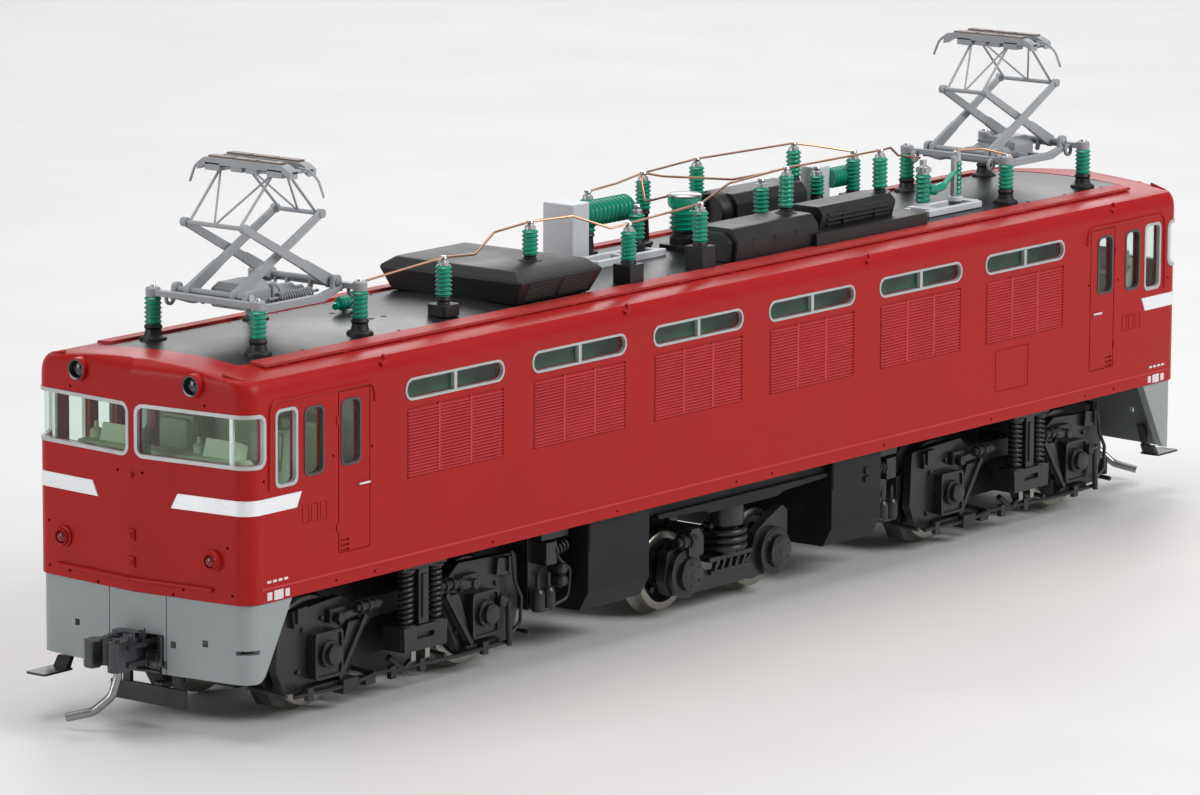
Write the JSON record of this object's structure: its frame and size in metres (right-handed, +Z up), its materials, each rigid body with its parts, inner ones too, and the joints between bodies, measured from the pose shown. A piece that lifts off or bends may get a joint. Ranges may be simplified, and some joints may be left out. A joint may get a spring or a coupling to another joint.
{
  "type": "model electric locomotive",
  "caption": "Model electric locomotive with two driven bogies, a sliding centre bogie, folding pantographs, roof busbars, glazed cabs and swinging knuckle couplers.",
  "frame": {"origin": "under the middle of the locomotive, on the plane that the wheel flanges stand on, 0.8 mm under the rail top", "axes": "+X along the length towards the rear cab, +Z up, +Y across"},
  "size_m": [0.2238, 0.0356, 0.0688],
  "materials": {
    "body_red": "semi-gloss paint",
    "skirt_grey": "matt paint",
    "clear_glazing": "clear polished",
    "cab_green": "matt",
    "circuit_green": "solder resist",
    "roof_black": "satin",
    "fitting_grey": "satin",
    "insulator_green": "gloss",
    "copper_wire": "bright drawn wire",
    "motor_steel": "satin",
    "brass_flywheel": "turned",
    "wheel_nickel": "nickel plated",
    "coupler_metal": "burnished",
    "chassis_zinc": "blackened die casting",
    "running_gear_black": "matt to satin"
  },
  "bodies": {
    "locomotive": {"body_shell": "body_red", "roof_panel": "roof_black", "skirt_front": "skirt_grey", "skirt_rear": "skirt_grey", "cab_glazing_front": "clear_glazing", "cab_glazing_rear": "clear_glazing", "side_glazing_near": "clear_glazing", "side_glazing_far": "clear_glazing", "light_guide_front": "clear_glazing", "light_guide_rear": "clear_glazing", "cab_interior_front": "cab_green", "cab_interior_rear": "cab_green", "machine_room_liner": "cab_green", "circuit_board": "circuit_green", "chassis_frame": "chassis_zinc", "motor_casing": "motor_steel", "equipment_near": "running_gear_black", "equipment_far": "running_gear_black", "roof_hood_front": "roof_black", "roof_hood_rear": "roof_black", "roof_hood_far": "roof_black", "breaker_box": "fitting_grey", "main_bushing": "insulator_green", "bus_line_near": "copper_wire", "bus_line_far": "copper_wire", "isolator_switch": "fitting_grey", "panto_base_front": "fitting_grey", "panto_base_rear": "fitting_grey"},
    "bogie_front": {"bogie_frame_front": "running_gear_black", "gearbox_front": "running_gear_black"},
    "bogie_rear": {"bogie_frame_rear": "running_gear_black", "gearbox_rear": "running_gear_black"},
    "centre_bolster": {"centre_bolster": "running_gear_black"},
    "centre_bogie": {"centre_bogie_frame": "running_gear_black"},
    "axle_1": {"wheelset_1": "wheel_nickel"},
    "axle_2": {"wheelset_2": "wheel_nickel"},
    "axle_3": {"wheelset_3": "wheel_nickel"},
    "axle_4": {"wheelset_4": "wheel_nickel"},
    "axle_5": {"wheelset_5": "wheel_nickel"},
    "axle_6": {"wheelset_6": "wheel_nickel"},
    "motor_rotor": {"motor_rotor": "brass_flywheel"},
    "cardan_front": {"cardan_shaft_front": "running_gear_black"},
    "worm_front": {"worm_shaft_front": "brass_flywheel"},
    "coupler_front": {"coupler_front": "coupler_metal"},
    "knuckle_front": {"knuckle_front": "coupler_metal"},
    "panto_lower_a_front": {"panto_lower_a_front": "fitting_grey"},
    "panto_lower_b_front": {"panto_lower_b_front": "fitting_grey"},
    "panto_upper_a_front": {"panto_upper_a_front": "fitting_grey"},
    "panto_upper_b_front": {"panto_upper_b_front": "fitting_grey"},
    "panto_head_front": {"panto_head_front": "fitting_grey"},
    "cardan_rear": {"cardan_shaft_rear": "running_gear_black"},
    "worm_rear": {"worm_shaft_rear": "brass_flywheel"},
    "coupler_rear": {"coupler_rear": "coupler_metal"},
    "knuckle_rear": {"knuckle_rear": "coupler_metal"},
    "panto_lower_a_rear": {"panto_lower_a_rear": "fitting_grey"},
    "panto_lower_b_rear": {"panto_lower_b_rear": "fitting_grey"},
    "panto_upper_a_rear": {"panto_upper_a_rear": "fitting_grey"},
    "panto_upper_b_rear": {"panto_upper_b_rear": "fitting_grey"},
    "panto_head_rear": {"panto_head_rear": "fitting_grey"}
  },
  "joints": [
    {"name": "bogie_front_swivel", "type": "hinge", "parent": "locomotive", "child": "bogie_front", "pos_m": [-0.068, 0, 0.0208], "axis": [0, 0, 1], "range_deg": [-8, 8]},
    {"name": "bogie_rear_swivel", "type": "hinge", "parent": "locomotive", "child": "bogie_rear", "pos_m": [0.068, 0, 0.0208], "axis": [0, 0, 1], "range_deg": [-8, 8]},
    {"name": "bolster_slide", "type": "slide", "parent": "locomotive", "child": "centre_bolster", "axis": [0, 1, 0], "range_m": [-0.0025, 0.0025]},
    {"name": "centre_bogie_swivel", "type": "hinge", "parent": "centre_bolster", "child": "centre_bogie", "pos_m": [0, 0, 0.0135], "axis": [0, 0, 1], "range_deg": [-5, 5]},
    {"name": "motor_spin", "type": "hinge", "parent": "locomotive", "child": "motor_rotor", "pos_m": [0, 0, 0.0235], "axis": [1, 0, 0], "continuous": true},
    {"name": "cardan_rear_spin", "type": "hinge", "parent": "locomotive", "child": "cardan_rear", "pos_m": [0.0264, 0, 0.0233], "axis": [0.9162, 0, -0.4008], "continuous": true},
    {"name": "cardan_front_spin", "type": "hinge", "parent": "locomotive", "child": "cardan_front", "pos_m": [-0.0264, 0, 0.0233], "axis": [0.9162, 0, 0.4008], "continuous": true},
    {"name": "worm_front_spin", "type": "hinge", "parent": "bogie_front", "child": "worm_front", "pos_m": [-0.068, 0, 0.0153], "axis": [1, 0, 0], "continuous": true},
    {"name": "worm_rear_spin", "type": "hinge", "parent": "bogie_rear", "child": "worm_rear", "pos_m": [0.068, 0, 0.0153], "axis": [1, 0, 0], "continuous": true},
    {"name": "axle_1_spin", "type": "hinge", "parent": "bogie_front", "child": "axle_1", "pos_m": [-0.08363, 0, 0.0078], "axis": [0, 1, 0], "continuous": true},
    {"name": "axle_2_spin", "type": "hinge", "parent": "bogie_front", "child": "axle_2", "pos_m": [-0.05237, 0, 0.0078], "axis": [0, 1, 0], "continuous": true},
    {"name": "axle_3_spin", "type": "hinge", "parent": "centre_bogie", "child": "axle_3", "pos_m": [-0.01, 0, 0.00617], "axis": [0, 1, 0], "continuous": true},
    {"name": "axle_4_spin", "type": "hinge", "parent": "centre_bogie", "child": "axle_4", "pos_m": [0.01, 0, 0.00617], "axis": [0, 1, 0], "continuous": true},
    {"name": "axle_5_spin", "type": "hinge", "parent": "bogie_rear", "child": "axle_5", "pos_m": [0.05237, 0, 0.0078], "axis": [0, 1, 0], "continuous": true},
    {"name": "axle_6_spin", "type": "hinge", "parent": "bogie_rear", "child": "axle_6", "pos_m": [0.08363, 0, 0.0078], "axis": [0, 1, 0], "continuous": true},
    {"name": "coupler_front_swing", "type": "hinge", "parent": "locomotive", "child": "coupler_front", "pos_m": [-0.0955, 0, 0.0102], "axis": [0, 0, 1], "range_deg": [-10, 10]},
    {"name": "knuckle_front_open", "type": "hinge", "parent": "coupler_front", "child": "knuckle_front", "pos_m": [-0.1088, 0.002, 0.0102], "axis": [0, 0, -1], "range_deg": [0, 25]},
    {"name": "panto_front_fold", "type": "hinge", "parent": "locomotive", "child": "panto_lower_a_front", "pos_m": [-0.0731, 0, 0.0527], "axis": [0, -1, 0], "range_deg": [-5, 22]},
    {"name": "panto_front_lower_b", "type": "hinge", "parent": "locomotive", "child": "panto_lower_b_front", "pos_m": [-0.0899, 0, 0.0527], "axis": [0, 1, 0], "range_deg": [-5, 22]},
    {"name": "panto_front_upper_a", "type": "hinge", "parent": "panto_lower_a_front", "child": "panto_upper_a_front", "pos_m": [-0.0895, 0, 0.0612], "axis": [0, 1, 0], "range_deg": [-11, 48]},
    {"name": "panto_front_upper_b", "type": "hinge", "parent": "panto_lower_b_front", "child": "panto_upper_b_front", "pos_m": [-0.0735, 0, 0.0612], "axis": [0, -1, 0], "range_deg": [-11, 48]},
    {"name": "panto_front_head", "type": "hinge", "parent": "panto_upper_a_front", "child": "panto_head_front", "pos_m": [-0.08325, 0, 0.0674], "axis": [0, -1, 0], "range_deg": [-6, 26]},
    {"name": "coupler_rear_swing", "type": "hinge", "parent": "locomotive", "child": "coupler_rear", "pos_m": [0.0955, 0, 0.0102], "axis": [0, 0, 1], "range_deg": [-10, 10]},
    {"name": "knuckle_rear_open", "type": "hinge", "parent": "coupler_rear", "child": "knuckle_rear", "pos_m": [0.1088, -0.002, 0.0102], "axis": [0, 0, -1], "range_deg": [0, 25]},
    {"name": "panto_rear_fold", "type": "hinge", "parent": "locomotive", "child": "panto_lower_a_rear", "pos_m": [0.0731, 0, 0.0527], "axis": [0, 1, 0], "range_deg": [-5, 22]},
    {"name": "panto_rear_lower_b", "type": "hinge", "parent": "locomotive", "child": "panto_lower_b_rear", "pos_m": [0.0899, 0, 0.0527], "axis": [0, -1, 0], "range_deg": [-5, 22]},
    {"name": "panto_rear_upper_a", "type": "hinge", "parent": "panto_lower_a_rear", "child": "panto_upper_a_rear", "pos_m": [0.0895, 0, 0.0612], "axis": [0, -1, 0], "range_deg": [-11, 48]},
    {"name": "panto_rear_upper_b", "type": "hinge", "parent": "panto_lower_b_rear", "child": "panto_upper_b_rear", "pos_m": [0.0735, 0, 0.0612], "axis": [0, 1, 0], "range_deg": [-11, 48]},
    {"name": "panto_rear_head", "type": "hinge", "parent": "panto_upper_a_rear", "child": "panto_head_rear", "pos_m": [0.08325, 0, 0.0674], "axis": [0, 1, 0], "range_deg": [-6, 26]}
  ],
  "couplings": [
    {"joint": "cardan_front_spin", "follows": "motor_spin", "ratio": 1},
    {"joint": "worm_front_spin", "follows": "motor_spin", "ratio": 1},
    {"joint": "cardan_rear_spin", "follows": "motor_spin", "ratio": 1},
    {"joint": "worm_rear_spin", "follows": "motor_spin", "ratio": 1},
    {"joint": "axle_1_spin", "follows": "motor_spin", "ratio": 0.05},
    {"joint": "axle_2_spin", "follows": "motor_spin", "ratio": 0.05},
    {"joint": "axle_5_spin", "follows": "motor_spin", "ratio": 0.05},
    {"joint": "axle_6_spin", "follows": "motor_spin", "ratio": 0.05},
    {"joint": "panto_front_lower_b", "follows": "panto_front_fold", "ratio": 1},
    {"joint": "panto_front_upper_a", "follows": "panto_front_fold", "ratio": 2.18},
    {"joint": "panto_front_upper_b", "follows": "panto_front_fold", "ratio": 2.18},
    {"joint": "panto_front_head", "follows": "panto_front_fold", "ratio": 1.18},
    {"joint": "panto_rear_lower_b", "follows": "panto_rear_fold", "ratio": 1},
    {"joint": "panto_rear_upper_a", "follows": "panto_rear_fold", "ratio": 2.18},
    {"joint": "panto_rear_upper_b", "follows": "panto_rear_fold", "ratio": 2.18},
    {"joint": "panto_rear_head", "follows": "panto_rear_fold", "ratio": 1.18}
  ]
}
